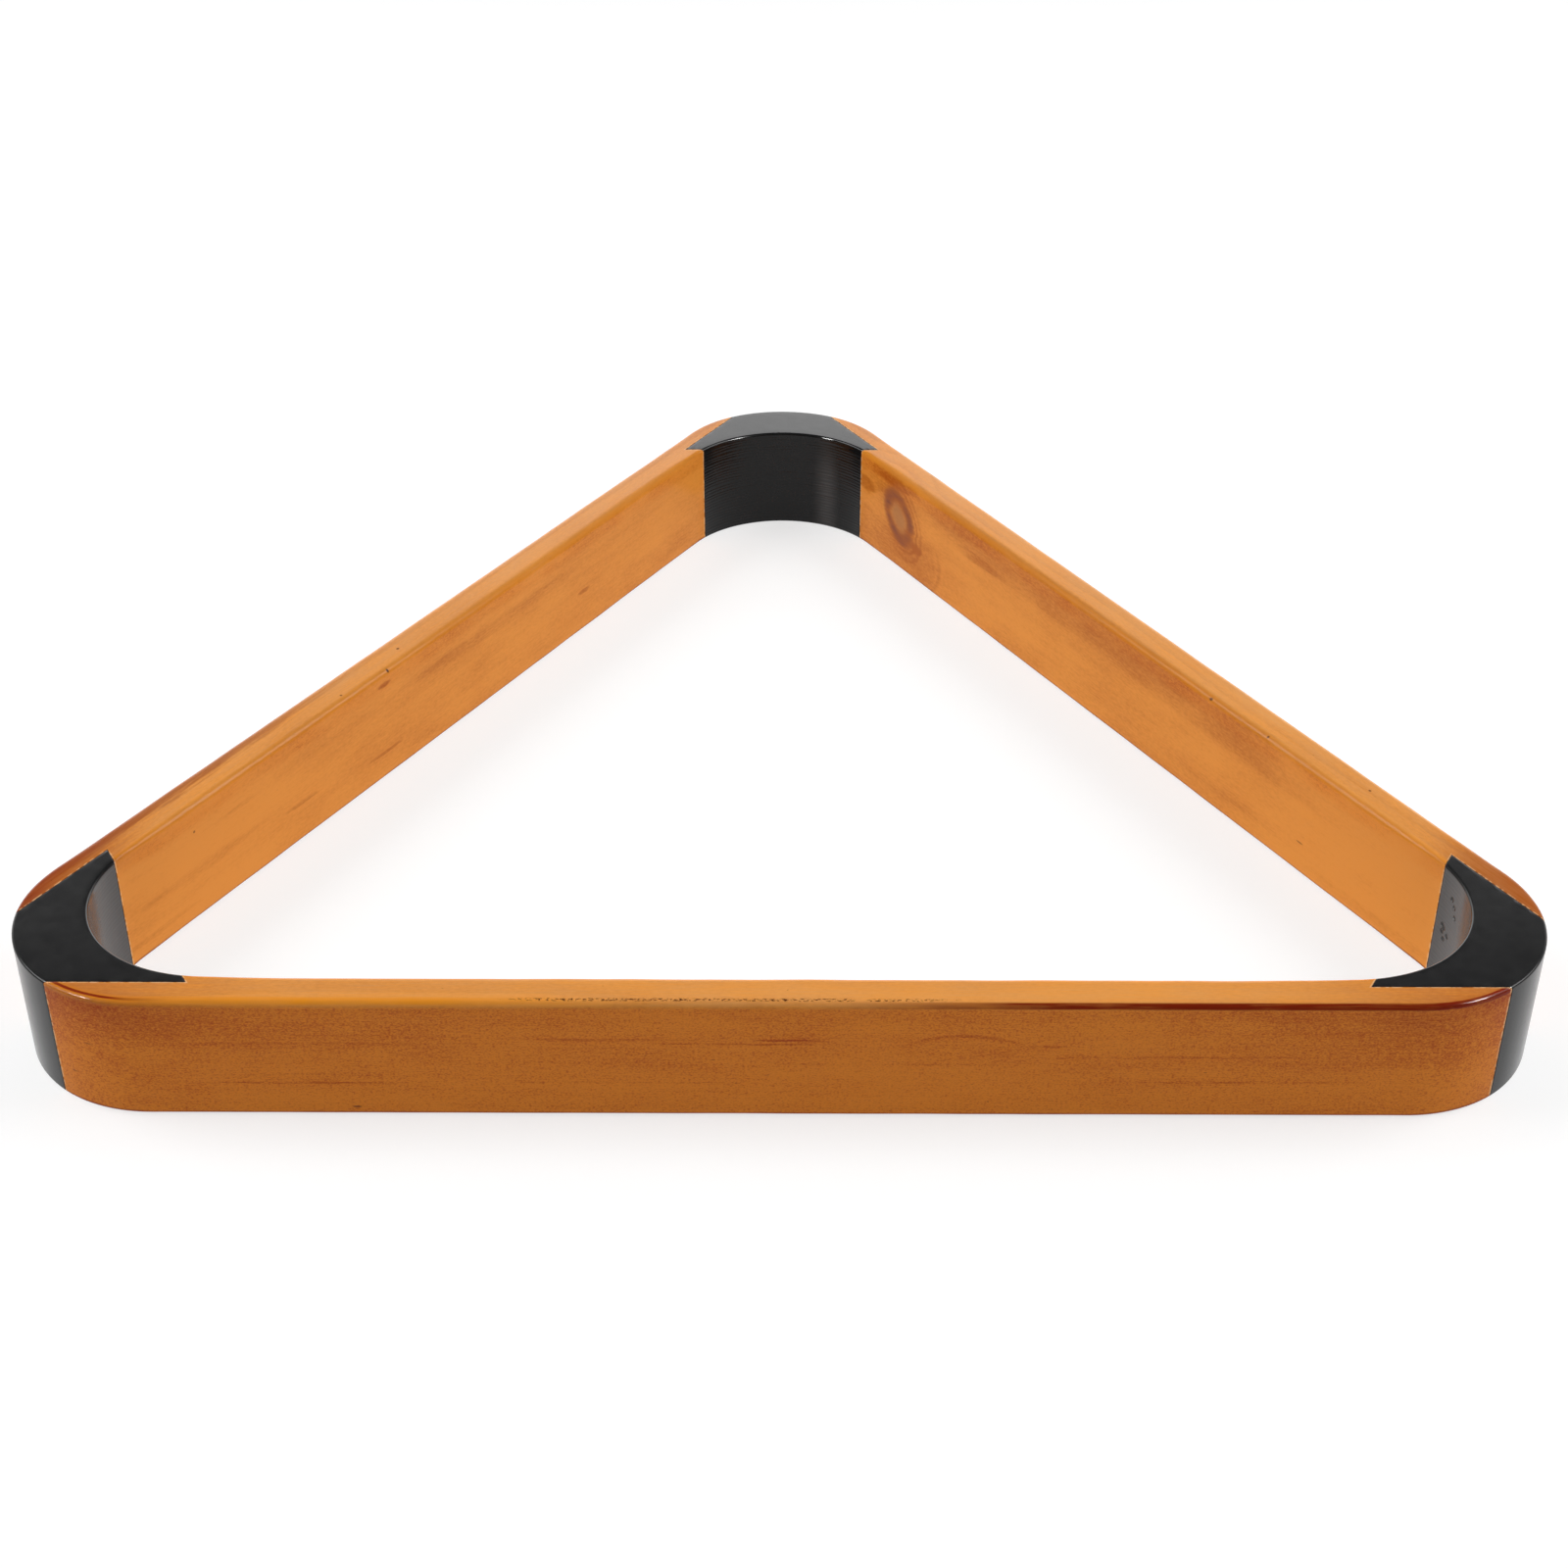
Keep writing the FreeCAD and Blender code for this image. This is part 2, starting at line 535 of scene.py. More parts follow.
class Surface:
    """The material of one piece, with the piece's own coordinates and its shader."""

    def __init__(self, name, heading, seed):
        self.material = bpy.data.materials.new(name)
        self.material.use_nodes = True
        self.tree = self.material.node_tree
        self.shader = self.tree.nodes["Principled BSDF"]
        turn = Matrix.Rotation(math.radians(-heading), 3, "Z")
        coordinates = self.tree.nodes.new("ShaderNodeTexCoord")
        mapping = self.tree.nodes.new("ShaderNodeMapping")
        mapping.inputs["Scale"].default_value = (1.0 / MM, 1.0 / MM, 1.0 / MM)
        mapping.inputs["Rotation"].default_value = (0.0, 0.0, math.radians(-heading))
        mapping.inputs["Location"].default_value = -(turn @ MIDDLE) / MM
        self.tree.links.new(coordinates.outputs["Object"], mapping.inputs["Vector"])
        split = self.tree.nodes.new("ShaderNodeSeparateXYZ")
        self.tree.links.new(mapping.outputs["Vector"], split.inputs[0])
        self.x, self.y, self.z = (Field(self.tree, output) for output in split.outputs)
        self.seed = seed

    def noise(self, x, y, z, detail=2.0, roughness=0.5):
        """Smooth noise about 0, mostly within a third of it, at fields already scaled.

        Each call draws another noise, so the order of the calls counts.
        """
        self.seed += 1
        join = self.tree.nodes.new("ShaderNodeCombineXYZ")
        for value, shift, socket in zip((x, y, z), NOISE_SHIFT, join.inputs):
            connect(self.tree, value + shift * self.seed, socket)
        node = self.tree.nodes.new("ShaderNodeTexNoise")
        node.inputs["Scale"].default_value = 1.0
        node.inputs["Detail"].default_value = detail
        node.inputs["Roughness"].default_value = roughness
        self.tree.links.new(join.outputs[0], node.inputs["Vector"])
        return Field(self.tree, node.outputs["Fac"]) - 0.5

    def below_top(self, start, end):
        """From 0 at start to 1 at end, which are depths below the top face."""
        return self.z.ramp(HEIGHT_MM - start, HEIGHT_MM - end)

    def blend(self, amount, under, over):
        """One colour over another, by a field or a number."""
        node = self.tree.nodes.new("ShaderNodeMix")
        node.data_type = "RGBA"
        connect(self.tree, amount, node.inputs["Factor"])
        for colour, socket in ((under, node.inputs[6]), (over, node.inputs[7])):
            connect(self.tree, colour if isinstance(colour, Field) else (*colour, 1.0), socket)
        return Field(self.tree, node.outputs[2])

    def bump(self, height, depth):
        """Relief by a height field, whose unit stands for that depth in millimetres."""
        node = self.tree.nodes.new("ShaderNodeBump")
        node.inputs["Distance"].default_value = depth * MM
        node.inputs["Strength"].default_value = 1.0
        connect(self.tree, height, node.inputs["Height"])
        self.tree.links.new(node.outputs["Normal"], self.shader.inputs["Normal"])

    def finish(self, colour, roughness):
        """Gives the shader its colour and roughness."""
        connect(self.tree, colour, self.shader.inputs["Base Color"])
        connect(self.tree, roughness, self.shader.inputs["Roughness"])


def along_rail(rail_bearing, corner):
    """Where a corner lies along a rail: below 0 at the end where s is, above 0 at the other."""
    return along(CORNER_BEARINGS[corner]).dot(along(rail_bearing + 90.0))


class Wood(Surface):
    """Stained and lacquered pine, as one rail has it."""

    def __init__(self, name, seed):
        bearing = RAIL_BEARINGS[name]
        super().__init__("wood_" + name, bearing + 90.0, seed)
        self.s = self.x
        self.n = -self.y - APOTHEM_MM
        round_the_end = (abs(self.s) - OUTER_ARC_START_MM).most(0.0)
        from_arc_centre = self.n + (OUTER_ARC_MM - THICKNESS_MM)
        arc_distance = (round_the_end.squared() + from_arc_centre.squared()).root()
        self.from_outside = -arc_distance + OUTER_ARC_MM
        turn = math.radians(60.0)
        shoulder = (
            abs(self.s) * math.sin(turn)
            + (self.n + APOTHEM_MM) * math.cos(turn)
            - SHOULDER_MM
        )
        depths = [
            RABBET_DEPTHS[corner][name] / MM
            for corner in sorted(CORNER_BEARINGS, key=lambda end: along_rail(bearing, end))
            if name in RABBET_DEPTHS[corner]
        ]
        self.from_joint = (-shoulder).most(self.n - self.s.ramp(-1.0, 1.0, *depths))
        self.from_end = -shoulder
        self.wobble = self.blotches(9.0, 2.5)

    def blotches(self, length, width, detail=2.0):
        """Noise in blotches that long along the rail and that wide across it."""
        return self.noise(self.s / length, self.n / width, self.z / width, detail)

    def outer_top_edge(self):
        """The rounded edge between the outer face and the top."""
        return self.from_outside.ramp(0.45, 0.15) * self.below_top(1.6, 0.4)

    def mark(self, place, reach):
        """A mark in the wood about a place (s, n, z), with its reach each way."""
        along_s, across, up = (
            ((value + self.wobble * half * 0.9 - middle) / half).squared()
            for value, middle, half in zip((self.s, self.n, self.z), place, reach)
        )
        return (along_s + across + up).root().ramp(0.4, 1.0, 1.0, 0.0)

    def strongest(self, marks):
        """The greatest of several marks, each given as its place, reach and strength."""
        return greatest([self.mark(place, reach) * strength for place, reach, strength in marks])

    def grain(self, pith, swirl):
        """Growth rings about a pith line outside the rail, and the fibres between them."""
        drift = self.blotches(150.0, 30.0) * 9.0
        ripple = self.blotches(34.0, 6.0) * 0.7
        across = self.n - pith[0] + drift + ripple
        up = self.z - pith[1] + drift * 0.6 + swirl
        ring = ((across.squared() + up.squared()).root() / RING_SPACING).fraction()
        late = ring.ramp(0.45, 0.92) - ring.ramp(0.93, 1.0)
        fibre = self.blotches(11.0, 0.28, detail=3.0)
        thread = self.blotches(3.0, 0.10)
        return late, fibre, thread


def wood_rail(name, seed, pith, features, coat_weight, coat_roughness, shade):
    """A rail's material: its grain, stain and lacquer, and what only that rail shows.

    The pith is the place (n, z) that the growth rings go round. The shade darkens the top.
    """
    wood = Wood(name, seed)
    n, z = wood.n, wood.z
    extra = {**PLAIN_RAIL, **features(wood)}
    late, fibre, thread = wood.grain(pith, extra["swirl"])

    # Where on the rail a point is
    outside = wood.from_outside.ramp(0.6, 1.6, 1.0, 0.0)
    top = wood.below_top(1.6, 0.4)
    outer_face = outside * (-top + 1.0)
    near_end = wood.from_end.ramp(-26.0, 32.0, 1.0, 0.0)
    end_of_face = wood.from_end.ramp(-8.0, 34.0, 1.0, 0.0)
    high_up = z.ramp(2.0, HEIGHT_MM)
    inner_top = n.ramp(1.8, 0.3) * wood.below_top(1.9, 0.5)
    under_edge = wood.from_outside.ramp(3.0, 6.0) * z.band(HEIGHT_MM - 2.6, 3.4, 0.8)

    # The stained wood, from light to dark
    stain = wood.blotches(34.0, 9.0)
    cloud = wood.blotches(12.0, 5.0, detail=3.0)
    mottle = wood.blotches(1.3, 0.55)
    face_end = end_of_face * (high_up * 0.19 + 0.09)
    tone = (
        late * (top * 0.14 + 0.06)
        + fibre * (top * 0.5 + 0.30)
        + thread * 0.44
        + stain * 0.70
        + cloud * 0.40
        + mottle * 0.62
        # On the outer face: darker towards the top as painted shade, and darker near the ends as
        # stain
        + outer_face * (high_up * 0.20 + face_end + extra["outer"])
        + top * (near_end * 0.16 + shade)
        + extra["dark"]
        + 0.19
    )
    colour = wood.blend(tone.ramp(-0.10, 1.15), WOOD_LIGHT, WOOD_DARK)
    # Painted sheen: a pale colour on the top that stands in for the lacquer's reflection
    painted_sheen = cloud * 0.6 + fibre * 0.9 - near_end * 0.24 + 0.37
    colour = wood.blend((top * painted_sheen).most(0.0), colour, WOOD_PAINTED_SHEEN)

    # Amber lacquer outside and under the inner edge, stain pooled along the inner top edge with a
    # painted rim light on the front's upper edge, and red where the lacquer gathers
    speckle = wood.blotches(0.50, 0.32, detail=1.0)
    amber_tone = (tone + fibre * 0.3 + mottle * 0.6 + speckle * 2.3).ramp(-0.30, 1.30)
    amber_colour = wood.blend(amber_tone, WOOD_AMBER, WOOD_AMBER_DARK)
    amber = under_edge * (cloud + 0.28) + outer_face * extra["amber"]
    colour = wood.blend(amber.least(1.0), colour, amber_colour)
    edge_stain_and_rim_light = inner_top.most(extra["edge_stain_and_rim_light"])
    colour = wood.blend(edge_stain_and_rim_light * (cloud + 0.62), colour, WOOD_EDGE_STAIN_AND_RIM_LIGHT)
    # Red also along the bottom edge of every face: partly pooled stain, partly painted shade at
    # the floor
    red = (extra["red"] + z.ramp(0.3, 1.1, 1.0, 0.0)).least(1.0)
    red = (red * (fibre * 0.9 + cloud * 0.8 + 1.0)).most(0.0).least(1.0)
    colour = wood.blend(red, colour, WOOD_RED)

    # The knot, the pores and the glue lines
    colour = wood.blend(extra["core"], colour, WOOD_TAN)
    colour = wood.blend(extra["bark"], colour, WOOD_BARK)
    specks = wood.blotches(1.1, 0.50, detail=0.0).ramp(0.40, 0.43)
    pores = (extra["pores"] + specks * 0.6).least(1.0)
    colour = wood.blend(pores, colour, WOOD_PORE)
    broken = wood.blotches(1.2, 1.2)
    pale = wood.from_joint.ramp(0.14, 0.46, 1.0, 0.0) * broken.ramp(-0.10, 0.06)
    colour = wood.blend(pale * 0.75, colour, WOOD_PALE)
    seam = (wood.from_joint + broken * 0.25).ramp(0.05, 0.14, 1.0, 0.0)
    colour = wood.blend(seam, colour, WOOD_PORE)

    roughness = fibre * 0.10 + cloud * 0.12 + pores * 0.25 + 0.42
    wood.finish(colour, roughness - red * 0.10)
    peel = wood.blotches(2.6, 2.0)
    relief = fibre * 0.30 + thread * 0.16 + late * 0.10 + peel * 0.9 - pores * 0.8
    wood.bump(relief + extra["relief"], WOOD_RELIEF)
    wood.shader.inputs["IOR"].default_value = WOOD_IOR
    wood.shader.inputs["Coat Weight"].default_value = coat_weight
    wood.shader.inputs["Coat Roughness"].default_value = coat_roughness
    wood.shader.inputs["Coat IOR"].default_value = LACQUER_IOR
    return wood.material


def front_features(wood):
    """Streaks and an arched ring on the face, and dark dashes along its upper edge.

    The same edge has a painted gold rim light at its left, and a dark red run of lacquer lies on
    it at its right.
    """
    s, n, z = wood.s, wood.n, wood.z
    face = THICKNESS_MM
    streaks = wood.strongest(
        [
            ((-96.0, face, 18.4), (44.0, 2.0, 0.55), 0.22),
            ((-36.0, face, 19.6), (26.0, 2.0, 0.45), 0.36),
            ((-10.0, face, 18.6), (24.0, 2.0, 0.40), 0.50),
            ((2.0, face, 19.6), (9.0, 2.0, 0.35), 0.62),
            ((54.0, face, 18.2), (6.5, 2.0, 0.45), 0.40),
            ((-98.0, face, 8.3), (26.0, 2.0, 0.40), 0.38),
            ((-30.0, face, 8.6), (34.0, 2.0, 0.40), 0.26),
            ((80.0, face, 15.4), (30.0, 2.0, 0.45), 0.30),
            ((96.0, face, 9.0), (34.0, 2.0, 0.45), 0.26),
            ((16.0, face, 13.5), (30.0, 2.0, 0.40), 0.22),
        ]
    )
    broken = wood.noise(s / 7.0, n / 9.0, z / 0.9, detail=2.0).ramp(-0.12, 0.10, 0.45, 1.0)
    crown_s, crown_z = 37.0, 20.8
    below_crown = z - crown_z + ((s - crown_s) / 8.0).squared() + wood.wobble * 0.5
    arch = below_crown.band(0.0, 0.55, 0.8) * s.band(38.0, 13.0, 0.5)
    arch = arch * wood.from_outside.ramp(1.0, 0.5)
    bend = s.band(crown_s, 46.0, 1.0) * z.band(17.0, 9.0, 0.9)
    pits = wood.strongest(
        [
            ((-138.7, face - 6.0, 16.6), (1.6, 6.0, 0.35), 0.9),
            ((-85.7, face, 2.1), (1.2, 1.5, 0.30), 0.8),
            ((141.0, face - 7.0, 14.5), (0.7, 6.0, 0.35), 0.9),
            ((-143.2, face - 7.0, 7.9), (1.2, 6.0, 0.35), 0.8),
        ]
    )
    upper = wood.below_top(0.9, 0.3)
    dashes = wood.noise(s / 0.8, z / 9.0, n / 0.35, detail=2.0, roughness=0.6).ramp(0.00, 0.10)
    stretches = wood.noise(s / 7.0, z / 9.0, n / 9.0, detail=1.0).ramp(-0.20, -0.06)
    line = wood.from_outside.band(1.60, 0.65, 0.9) * upper
    run = s.ramp(-58.0, -44.0) * s.ramp(16.0, 46.0, 1.0, 0.0) * stretches
    pores = (line * dashes * run * 1.6).least(1.0).most(pits)
    edge = wood.from_outside.ramp(0.80, 1.20, 1.0, 0.0) * wood.below_top(1.25, 0.85)
    tip_line = wood.from_outside.band(1.30, 0.50, 0.6) * upper
    right_side = s.ramp(0.0, 62.0)
    # Painted rim light: a gold line along the upper edge towards the left end
    painted_rim_light = wood.from_outside.band(1.1, 1.5, 0.7) * upper * s.ramp(-20.0, -70.0)
    blush = s.ramp(96.0, 140.0) + s.ramp(-96.0, -140.0) * 0.8
    blush = blush * wood.below_top(13.0, 0.0)
    left_end = s.ramp(-118.0, -138.0)
    feather = wood.from_end.ramp(-6.0, -28.0) * wood.below_top(6.0, 0.0)
    return {
        "dark": streaks * broken * 1.3 + arch * 0.42 + feather * 0.2,
        "red": edge * right_side + (tip_line * 0.85 + feather * 0.10) * left_end + blush * 0.26,
        "outer": -0.17,
        "amber": 0.86,
        "edge_stain_and_rim_light": painted_rim_light * 1.4,
        "pores": pores,
        "swirl": bend * 4.0,
    }


def left_features(wood):
    """A dark red-brown strip on the top's outer side near the front corner, and small marks."""
    s, n, z = wood.s, wood.n, wood.z
    smudges = wood.strongest(
        [
            ((27.8, 0.0, 25.4), (3.4, 1.6, 1.1), 0.75),
            ((60.3, 0.0, 9.8), (7.0, 1.6, 0.8), 0.38),
            ((80.3, 0.0, 20.4), (8.0, 1.6, 0.9), 0.24),
            ((-58.0, 0.0, 11.4), (3.6, 1.6, 0.9), 0.55),
            ((29.3, 0.0, 7.0), (9.0, 1.6, 0.6), 0.40),
            ((95.0, 0.0, 12.0), (26.0, 1.6, 2.2), 0.22),
            ((-20.0, 0.0, 20.0), (40.0, 1.6, 3.0), 0.25),
            ((110.0, 0.0, 4.0), (18.0, 1.6, 1.2), 0.32),
        ]
    )
    pits = wood.strongest(
        [
            ((25.2, 0.4, 27.9), (0.5, 0.8, 0.6), 1.0),
            ((16.2, 4.2, HEIGHT_MM), (0.55, 0.5, 1.0), 1.0),
            ((41.0, 2.0, HEIGHT_MM), (0.45, 0.4, 1.0), 0.9),
            ((96.0, 0.0, 22.0), (0.45, 0.8, 0.45), 0.7),
        ]
    )
    top = wood.below_top(1.4, 0.6)
    streaky = wood.noise(s / 14.0, n / 0.9, z / 3.0, detail=3.0)
    strip = (wood.from_outside + streaky * 5.0).ramp(4.6, 2.2) * top * s.ramp(24.0, 84.0)
    feather = wood.from_end.ramp(14.0, -10.0) * s.ramp(60.0, 90.0) * wood.below_top(4.0, 0.0)
    feather = feather * (streaky * 1.6 + 0.75)
    # Painted light: the inner face is made lighter towards the front left corner, against the
    # corner's shade
    painted_light_near_corner = s.ramp(30.0, 110.0) * n.ramp(2.5, 1.0)
    return {
        "dark": smudges + feather * 0.5 + strip.most(0.0) * 0.5 - painted_light_near_corner * 0.20,
        "red": (strip * 0.42 + feather * 0.36).most(0.0) + wood.outer_top_edge() * 0.7,
        "pores": pits,
    }


def right_features(wood):
    """A knot near the apex, with the darker wood that runs on from it below the top edge."""
    s, n, z = wood.s, wood.n, wood.z
    knot_s, knot_z = KNOT_PLACE
    lean = (z - knot_z) * -0.32
    from_knot = (
        ((s - knot_s + lean + wood.wobble * 1.5) / KNOT_RADII[0]).squared()
        + ((z - knot_z + wood.wobble * 2.0) / KNOT_RADII[1]).squared()
    ).root()
    rind = from_knot.band(0.72, 0.38, 1.0)
    heart = from_knot.ramp(0.25, 0.62, 1.0, 0.0)
    outer_rings = from_knot.band(1.16, 0.10, 1.0) + from_knot.band(1.42, 0.12, 1.0) * 0.7
    ring_side = s.ramp(knot_s + 3.0, knot_s - 3.0)
    halo = from_knot.ramp(0.8, 1.7, 1.0, 0.0) + outer_rings * ring_side * 2.0
    inside = n.ramp(2.5, 1.0)
    flow_line = -(s - 78.0 - (z - 8.0).squared() * 0.06)
    knot_side = flow_line.ramp(-4.0, 1.5, 1.0, 0.0) * z.ramp(16.0, 10.0, 0.4, 1.0)
    boundary = flow_line.band(0.0, 1.6, 1.0) * z.ramp(15.0, 11.0)
    band_top = z - 20.6 - (s - 20.0) * 0.020
    under_top = band_top.ramp(-3.2, 1.8) * s.ramp(96.0, 70.0) * s.ramp(-96.0, -40.0)
    smudges = wood.strongest(
        [
            ((117.4, 0.0, 19.4), (5.6, 1.6, 3.2), 0.50),
            ((90.0, 0.0, 9.6), (3.6, 1.6, 2.2), 0.45),
            ((58.5, 0.0, 19.9), (14.0, 1.6, 2.2), 0.40),
            ((102.0, 0.0, 26.0), (14.0, 2.4, 2.6), 0.45),
            ((-100.0, 0.0, 3.0), (30.0, 1.6, 2.0), 0.28),
        ]
    )
    pits = wood.strongest(
        [
            ((-60.2, 0.6, HEIGHT_MM), (0.55, 0.6, 1.2), 1.0),
            ((-89.9, 5.4, HEIGHT_MM), (0.5, 0.4, 1.0), 0.9),
            ((-39.5, 0.2, HEIGHT_MM - 0.6), (0.8, 0.8, 0.6), 0.9),
            ((-76.0, 0.0, 8.0), (1.6, 1.0, 0.3), 0.6),
        ]
    )
    feather = wood.from_end.ramp(10.0, -20.0) * s.ramp(-70.0, -100.0) * wood.below_top(4.0, 0.0)
    dark = (
        rind * 0.62
        + heart * 0.18
        + halo * 0.16
        + (knot_side * 0.22 + boundary * 0.25 + under_top * 0.36 + smudges) * inside
        + feather * 1.10
        # Painted light: the inner face is made lighter towards the front right corner, against
        # the corner's shade
        - s.ramp(-40.0, -110.0) * inside * 0.32
    )
    return {
        "dark": dark,
        "red": feather * 0.30 + wood.outer_top_edge() * 0.7,
        "core": heart * 0.65,
        "bark": rind * (wood.wobble * 1.8 + 0.46) + heart * 0.08,
        "pores": pits,
        "swirl": (z - knot_z) * from_knot.ramp(0.9, 3.2, -0.55, 0.0),
        "relief": (rind + heart) * 0.3,
    }


def black_block(name, seed, holes_in, painted_sheen, brushed):
    """Black satin plastic, turned in the pocket and sanded flat on top.

    The more it is brushed, the more the lines of the turning and the sanding show.
    """
    black = Surface("black_" + name, CORNER_BEARINGS[name], seed)
    x, y, z = black.x, black.y, black.z
    from_axis = ((x - POCKET_CENTRE_MM).squared() + y.squared()).root()
    pocket = (from_axis - POCKET_MM).ramp(0.3, 1.0, 1.0, 0.0) * x.ramp(-1.0, 1.0)
    pocket = pocket * black.below_top(0.4, 0.9)
    top = black.below_top(0.7, 0.3)
    drift = black.noise(x / 30.0, y / 30.0, z / 30.0)
    uneven = black.noise(x / 22.0, y / 22.0, z / 1.6, detail=3.0)
    ring = (z / TURNING_PITCH + uneven * 1.6).fraction()
    turned = (ring.ramp(0.0, 0.5) * ring.ramp(1.0, 0.5) - 0.4) * (uneven + 0.6)
    rings = turned * pocket * (brushed * 6.0)
    # The top is sanded at 60 degrees to the corner's bearing.
    slant_along = x * 0.5 + y * 0.87
    slant_across = x * 0.87 - y * 0.5
    sanded = black.noise(slant_along / 16.0, slant_across / 0.35, z / 9.0, detail=3.0)
    swirl = black.noise(slant_along / 9.0, slant_across / 2.2, z / 9.0, detail=2.0)
    mottle = black.noise(x / 2.4, y / 2.4, z / 2.4, detail=3.0)
    dust = black.noise(x / 0.8, y / 0.8, z / 0.8, detail=1.0).ramp(0.30, 0.36)
    edge_wear = z.band(HEIGHT_MM - 0.25, 0.5, 0.8) * (mottle + 0.5)

    amount = mottle * 0.20 + drift * 0.35 + sanded * top * brushed + rings * 0.6
    # The pocket's colour is darker: painted shade
    amount = amount + edge_wear * 0.25 + dust * 0.16 - pocket * 0.26
    colour = black.blend(amount.ramp(-0.1, 1.0), BLACK_DEEP, BLACK_WORN)
    bearing = y.math("ARCTAN2", x - POCKET_CENTRE_MM)
    # Dust and a painted sheen in the front pockets, and a painted highlight strip in the apex
    # pocket
    pocket_dust_and_sheen = painted_sheen(bearing, z) * (rings + 1.0) + mottle * 0.06
    pocket_dust_and_sheen = pocket * pocket_dust_and_sheen.most(0.0)
    colour = black.blend(pocket_dust_and_sheen, colour, BLACK_DUST_AND_SHEEN)
    holes = holes_in(black)
    colour = black.blend(holes, colour, BLACK_HOLE)

    polished = z.band(HEIGHT_MM - 0.9, 1.2, 0.7) * (from_axis - POCKET_MM).ramp(2.0, 0.8)
    polished = polished * bearing.ramp(0.10, -0.16)
    roughness = mottle * 0.08 + drift * 0.10 + (sanded * 0.5 + swirl * 0.35) * top * brushed
    roughness = roughness + rings * 0.16 - polished * 0.14 + 0.20
    black.finish(colour, roughness)
    relief = mottle * 0.25 + sanded * top * brushed * 0.6 + rings * 2.2 - holes * 9.0
    black.bump(relief, PLASTIC_RELIEF)
    black.shader.inputs["IOR"].default_value = PLASTIC_IOR
    return black.material


def no_holes(black):
    """The other blocks have none of the front right one's moulding holes."""
    return 0.0


def even_dust_and_sheen(bearing, height):
    """Dust and rubbing over a whole pocket with a painted sheen on them, the most where the ball
    bears on its two sides.
    """
    return abs(bearing).band(0.78, 0.36, 1.0) * 0.22 + 0.38


def apex_painted_highlight(bearing, height):
    """A painted highlight: a faint pale strip up the pocket's wall, to the right of its middle.
    """
    return bearing.band(-0.47, 0.17, 1.0) * height.ramp(26.0, 14.0, 0.10, 0.36)


def moulding_holes(black):
    """The small holes in the front right block's pocket."""
    holes = []
    for bearing, height in MOULDING_HOLES:
        x = POCKET_CENTRE_MM + POCKET_MM * math.cos(math.radians(bearing))
        y = POCKET_MM * math.sin(math.radians(bearing))
        distance = (
            (black.x - x).squared() + (black.y - y).squared() + (black.z - height).squared()
        ).root()
        holes.append(distance.ramp(0.40, 0.68, 1.0, 0.0))
    return greatest(holes)


MATERIALS = {
    "rail_front": wood_rail(
        "front",
        seed=10,
        pith=(-8.0, -30.0),
        features=front_features,
        coat_weight=0.28,
        coat_roughness=0.10,
        shade=0.00,
    ),
    "rail_left": wood_rail(
        "left",
        seed=40,
        pith=(30.0, -24.0),
        features=left_features,
        coat_weight=0.34,
        coat_roughness=0.15,
        shade=0.18,
    ),
    "rail_right": wood_rail(
        "right",
        seed=70,
        pith=(22.0, 44.0),
        features=right_features,
        coat_weight=0.32,
        coat_roughness=0.15,
        shade=0.06,
    ),
    "corner_block_apex": black_block(
        "apex", seed=100, holes_in=no_holes, painted_sheen=apex_painted_highlight, brushed=0.16
    ),
    "corner_block_front_left": black_block(
        "front_left", seed=120, holes_in=no_holes, painted_sheen=even_dust_and_sheen, brushed=0.04
    ),
    "corner_block_front_right": black_block(
        "front_right", seed=140, holes_in=moulding_holes, painted_sheen=even_dust_and_sheen, brushed=0.04
    ),
}
for name, piece in pieces.items():
    piece.data.materials.append(MATERIALS[name])

# ---------------------------------------------------------------------------------------
# Camera, floor and light
# ---------------------------------------------------------------------------------------

# The camera's place is stated from the middle of the triangle: it looks along its heading
# and down by its pitch, from this far, with the middle a little off the picture's centre.
FOCAL_LENGTH = 54.685
SENSOR_WIDTH = 36.0
HEADING = math.radians(-0.069)
PITCH = math.radians(32.964)
ROLL = math.radians(0.117)
DISTANCE = 574.18 * MM
SHIFT_RIGHT = 0.85 * MM
SHIFT_UP = 10.37 * MM
CLIP_START = 0.01

# The floor is matt and also glows, so that it renders close to the photograph's white.
FLOOR_REACH = 4.0
FLOOR_GREY = (0.34, 0.34, 0.34, 1.0)
FLOOR_GLOW = 0.70
FLOOR_ROUGHNESS = 0.9
WHITE = (1.0, 1.0, 1.0, 1.0)

# Each square light's place, side, power in watts, and whether it shows in gloss only. The
# soft boxes light the rack, and the glints only draw the highlights on its edges.
LIGHTS = {
    "softbox_left": ((-1.05, 0.10, 0.92), 0.80, 13.0, False),
    "softbox_right": ((1.05, 0.10, 0.92), 0.80, 12.8, False),
    "glint_left": ((-0.94, -0.52, 0.80), 0.26, 30.0, True),
    "glint_right": ((0.94, -0.52, 0.80), 0.26, 36.0, True),
}

# The brightness of the wall and the room. The wall fades between two values of a part of
# the unit vector towards it: out by height and to both sides, and in towards the back.
WALL_LIGHT = 2.8
ROOM_LIGHT = 0.16
WALL_TOP = (math.sin(math.radians(24.0)), math.sin(math.radians(31.0)))
WALL_SIDES = (0.50, 0.85)
WALL_FRONT = (-0.10, 0.20)


